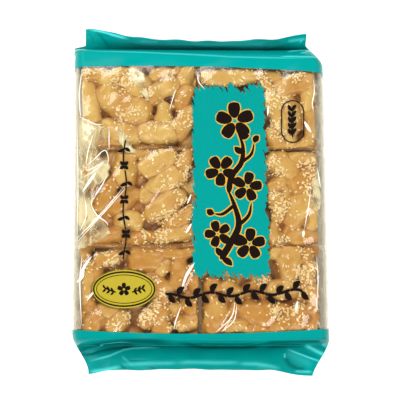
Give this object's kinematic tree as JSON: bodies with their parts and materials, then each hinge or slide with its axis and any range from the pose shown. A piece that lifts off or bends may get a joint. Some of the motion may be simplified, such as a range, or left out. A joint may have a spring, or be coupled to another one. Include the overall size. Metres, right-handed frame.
{
  "type": "sachima pack",
  "caption": "Sealed clear film pack of puffed sesame sachima blocks side by side, with opaque printed ends and flat crimped seals, lying on its back.",
  "frame": {"origin": "centre of the pack's bounding box, on the surface that its back rests on", "axes": "+X across the pack to the right as read, +Y along the pack towards its upper seal, +Z out of the printed front"},
  "size_m": [0.182, 0.2482, 0.0372],
  "materials": {
    "film_pack": "clear glossy wrapping film over golden sachima, with opaque teal print at both ends and on a front panel",
    "sachima": "puffed golden dough strips glazed with syrup, satin with soft translucency",
    "sesame": "hulled sesame seeds, satin cream",
    "teal_print": "opaque teal ink reverse printed on glossy film",
    "black_print": "near black ink on glossy film",
    "gold_print": "flat gold-yellow ink on glossy film"
  },
  "bodies": {
    "root": {"sachima_pack": "film_pack"}
  },
  "joints": []
}
